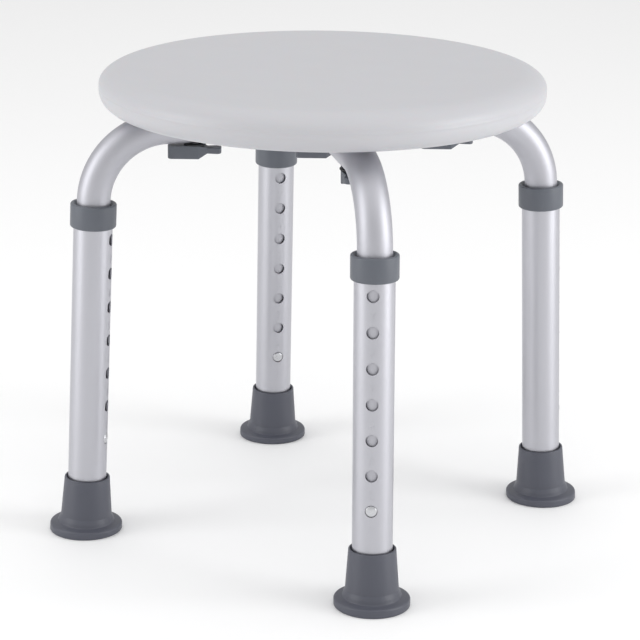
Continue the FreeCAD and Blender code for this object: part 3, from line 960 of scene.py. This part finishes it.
def foot_outline(settings):
    """Ring outline of a foot, from the sole's middle round to the socket's floor."""
    rim = LEG_RADIUS + settings.wall
    cone = rim + settings.cone_spread
    step = cone + settings.step_reach
    flange = settings.flange
    mouth = settings.tread_width / 2
    edge = settings.tread_edge
    sole = [(settings.vent, 0, 0)]
    for groove in range(TREAD_COUNT):
        radius = settings.tread_first + groove * settings.tread_step
        depths = ((-mouth, 0), (edge - mouth, settings.tread_depth))
        depths += ((mouth - edge, settings.tread_depth), (mouth, 0))
        sole += [(radius + aside, depth, edge, TREAD_CORNER) for aside, depth in depths]
    # radius, height, rounding in millimetres and, for the flange, its segments
    profile = [
        (FOOT_RADIUS, 0, 0.8),
        (FOOT_RADIUS, flange, 1.6, FLANGE_CORNER),
        (step, flange + FLANGE_SLOPE, 1.2),
        (step - settings.step_draft, settings.step_height, 0.7),
        (cone, settings.cone_base, 1.5),
        (rim, FOOT_HIGH, 0.9),
        (LEG_RADIUS + settings.mouth, FOOT_HIGH, 0.35),
        (LEG_RADIUS, FOOT_HIGH - settings.mouth_depth, 0.5),
        (LEG_RADIUS, settings.sole, 0.3),
        (settings.vent, settings.sole, 0),
    ]
    return rounded(sole + [(out, up, rounding * MM, *more) for out, up, rounding, *more in profile])


def flatten_sole(vertices, space, flange):
    """Tilt the lowest part of a foot so that its sole is level although the leg leans."""
    inverse = space.inverted()
    for index, vertex in enumerate(vertices):
        spot = space @ vertex
        share = 1 - smoothstep(vertex.z / flange * 0.5)
        level = inverse @ Vector((spot.x, spot.y, vertex.z))
        vertices[index] = vertex.lerp(level, share)


# --- snap buttons -------------------------------------------------------------------------


CROWN_CORNER = 8  # segments round a button's top edge
BUTTON_SMOOTH = 50  # degrees, as for the seat


class STOOL_OT_snap_buttons(bpy.types.Operator):
    """Build the domed snap buttons that lock the legs"""

    bl_idname = "stool.snap_buttons"
    bl_label = "Snap buttons"

    def execute(self, context):
        settings = context.scene.stool_button
        finish = finish_named("steel_button")
        shank = context.scene.stool_tube.hole_diameter / 2 - settings.play
        for name in LEGS:
            space = leg_space(name) @ across(BUTTON_HEIGHT)
            body = f"button_{name}"
            radius, low, high = reach(f"snap_button_{name}", space)[1:]
            base = low + settings.base
            outline = rounded(
                [
                    (0, low),
                    (radius, low, settings.base_edge),
                    (radius, base, settings.base_edge),
                    (shank, base, settings.shank_edge),
                    (shank, high - settings.crown, settings.crown_edge, CROWN_CORNER),
                    (0, high),
                ]
            )
            vertices, faces = turned(outline, False, SMALL_ROUND)
            title = f"snap_button_{name}_domed"
            made = piece(title, vertices, faces, space, body, finish, BUTTON_SMOOTH)
            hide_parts(f"snap_button_{name}")
        return {"FINISHED"}


# --- knobs --------------------------------------------------------------------------------


KNOB_EDGE = 0.5 * MM  # rounding added to a knob's edges
EDGE_ANGLE = 35  # degrees from which a knob's or a small part's edge counts as one
WASHER_EDGE = 0.3 * MM  # rounding of a knob washer's edges


class STOOL_OT_knobs(bpy.types.Operator):
    """Build the lever knobs and their washers"""

    bl_idname = "stool.knobs"
    bl_label = "Knobs"

    def execute(self, context):
        for name in KNOBS:
            build_knob(name)
            build_washer(name)
        return {"FINISHED"}


def build_knob(name):
    """A kept CAD knob with a softened edge all round."""
    made = frame["nodes"][f"knob_{name}"]
    finish_mesh(made, finish_named("plastic_grey"), EDGE_ANGLE)
    bevel = made.modifiers.new("soft_edges", "BEVEL")
    bevel.width = KNOB_EDGE
    bevel.segments = 3
    bevel.limit_method = "ANGLE"
    bevel.angle_limit = math.radians(EDGE_ANGLE)


def build_washer(name):
    """The dark washer between a knob and its tube."""
    space = knob_space(name)
    bore, radius, low, high = reach(f"knob_washer_{name}", space)
    corners = ((bore, low), (radius, low), (radius, high), (bore, high))
    outline = rounded([(*corner, WASHER_EDGE) for corner in corners])
    vertices, faces = turned(outline, True, SMALL_ROUND)
    finish = finish_named("washer_near_black")
    made = piece(f"knob_washer_{name}_round", vertices, faces, space, "frame", finish)
    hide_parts(f"knob_washer_{name}")


# --- hidden hardware ----------------------------------------------------------------------


class STOOL_OT_hardware(bpy.types.Operator):
    """Give the screws, inserts, springs and foot washers their finishes"""

    bl_idname = "stool.hardware"
    bl_label = "Hidden hardware"

    def execute(self, context):
        kinds = {
            "knob_screw": ("steel_zinc", KNOBS),
            "insert": ("brass_machined", KNOBS),
            "button_spring": ("steel_spring", LEGS),
            "foot_washer": ("steel_zinc", LEGS),
        }
        for kind, (finish, places) in kinds.items():
            for name in places:
                node = frame["nodes"][f"{kind}_{name}"]
                finish_mesh(node, finish_named(finish), EDGE_ANGLE)
        return {"FINISHED"}


# --- stage --------------------------------------------------------------------------------


FLOOR_REACH = 12.0  # from the middle of the floor to its edges
FLOOR_GAP = 0.05 * MM  # keeps the soles and the floor from lying in one plane
WORLD_LIGHT = 0.67  # strength of the even light from all sides
LIGHT_TARGET = 0.2  # height that the softboxes face
SENSOR_WIDTH = 36  # in millimetres, as the lens is
# name, degrees to the right of the camera, distance, height, width and height, watts
SOFTBOXES = (
    ("overhead", 0, 0.0, 3.2, (6.5, 6.5), 60.0),
    ("left", -72, 1.9, 0.75, (0.9, 1.6), 12.5),
    ("right", 72, 1.9, 0.75, (1.0, 1.6), 18.0),
)


class STOOL_OT_stage(bpy.types.Operator):
    """Set out the floor, the soft lights and the camera"""

    bl_idname = "stool.stage"
    bl_label = "Stage"

    def execute(self, context):
        settings = context.scene.stool_stage
        add_floor(settings)
        add_world()
        for name, swing, distance, height, size, watts in SOFTBOXES:
            turn = settings.azimuth + math.radians(swing)
            place = (distance * math.sin(turn), -distance * math.cos(turn), height)
            add_softbox(name, place, size, watts)
        add_camera(settings)
        context.scene.view_settings.view_transform = "Standard"
        return {"FINISHED"}


def add_floor(settings):
    """Wide floor that goes down with a leg, so that the stool still stands on it when raised."""
    corners = ((-1, -1), (1, -1), (1, 1), (-1, 1))
    vertices = [(FLOOR_REACH * x, FLOOR_REACH * y, 0) for x, y in corners]
    mesh = bpy.data.meshes.new("floor")
    mesh.from_pydata(vertices, [], [[0, 1, 2, 3]])
    floor = bpy.data.objects.new("floor", mesh)
    floor.location.z = -FLOOR_GAP
    bpy.context.scene.collection.objects.link(floor)
    mesh.materials.append(floor_finish(settings.floor))
    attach(floor, f"leg_{LEGS[0]}")


def add_world():
    """White surroundings that fill the shadows."""
    world = bpy.data.worlds.new("studio")
    world.use_nodes = True
    background = world.node_tree.nodes["Background"]
    background.inputs["Color"].default_value = (1, 1, 1, 1)
    background.inputs["Strength"].default_value = WORLD_LIGHT
    bpy.context.scene.world = world


def add_softbox(name, place, size, watts):
    """Rectangular soft light that faces the stool."""
    light = bpy.data.lights.new(name, "AREA")
    light.shape = "RECTANGLE"
    light.size, light.size_y = size
    light.energy = watts
    made = bpy.data.objects.new(name, light)
    made.location = place
    direction = Vector((0, 0, LIGHT_TARGET)) - made.location
    made.rotation_euler = direction.to_track_quat("-Z", "Y").to_euler()
    bpy.context.scene.collection.objects.link(made)


def add_camera(settings):
    """Camera that looks down at the stool from its front right corner."""
    data = bpy.data.cameras.new("camera")
    data.lens = settings.lens
    data.sensor_width = SENSOR_WIDTH
    camera = bpy.data.objects.new("camera", data)
    side, back = math.sin(settings.azimuth), math.cos(settings.azimuth)
    camera.location = (settings.distance * side, -settings.distance * back, settings.height)
    facing = Matrix.Rotation(settings.azimuth, 4, "Z")
    down = Matrix.Rotation(math.pi / 2 - settings.pitch, 4, "X")
    tilt = Matrix.Rotation(settings.roll, 4, "Z")
    camera.rotation_euler = (facing @ down @ tilt).to_euler()
    bpy.context.scene.collection.objects.link(camera)
    bpy.context.scene.camera = camera


# --- panel and registration ---------------------------------------------------------------


OPERATORS = (
    STOOL_OT_seat,
    STOOL_OT_frame_tubes,
    STOOL_OT_leg_tubes,
    STOOL_OT_numbers,
    STOOL_OT_collars,
    STOOL_OT_feet,
    STOOL_OT_snap_buttons,
    STOOL_OT_knobs,
    STOOL_OT_hardware,
    STOOL_OT_stage,
)


class STOOL_PT_panel(bpy.types.Panel):
    """Sidebar panel with the stool's settings and building steps"""

    bl_label = "Shower stool"
    bl_idname = "STOOL_PT_panel"
    bl_space_type = "VIEW_3D"
    bl_region_type = "UI"
    bl_category = "Stool"

    def draw(self, context):
        for group, settings in SETTINGS.items():
            box = self.layout.box()
            box.label(text=group.replace("_", " ").capitalize())
            for label in settings.__annotations__:
                box.prop(getattr(context.scene, group), label)
        for operator in OPERATORS:
            self.layout.operator(operator.bl_idname)


def register():
    """Add the settings, the building steps and the panel."""
    for settings in SETTINGS.values():
        bpy.utils.register_class(settings)
    for name, settings in SETTINGS.items():
        setattr(bpy.types.Scene, name, PointerProperty(type=settings))
    for shown in OPERATORS + (STOOL_PT_panel,):
        bpy.utils.register_class(shown)


def unregister():
    """Take them away again."""
    for shown in (STOOL_PT_panel,) + OPERATORS[::-1]:
        bpy.utils.unregister_class(shown)
    for name in SETTINGS:
        delattr(bpy.types.Scene, name)
    for settings in reversed(SETTINGS.values()):
        bpy.utils.unregister_class(settings)


def main():
    """Build the whole stool and its stage."""
    register()
    bpy.ops.stool.seat()
    bpy.ops.stool.frame_tubes()
    bpy.ops.stool.leg_tubes()
    bpy.ops.stool.numbers()
    bpy.ops.stool.collars()
    bpy.ops.stool.feet()
    bpy.ops.stool.snap_buttons()
    bpy.ops.stool.knobs()
    bpy.ops.stool.hardware()
    bpy.ops.stool.stage()


if __name__ == "__main__":
    main()
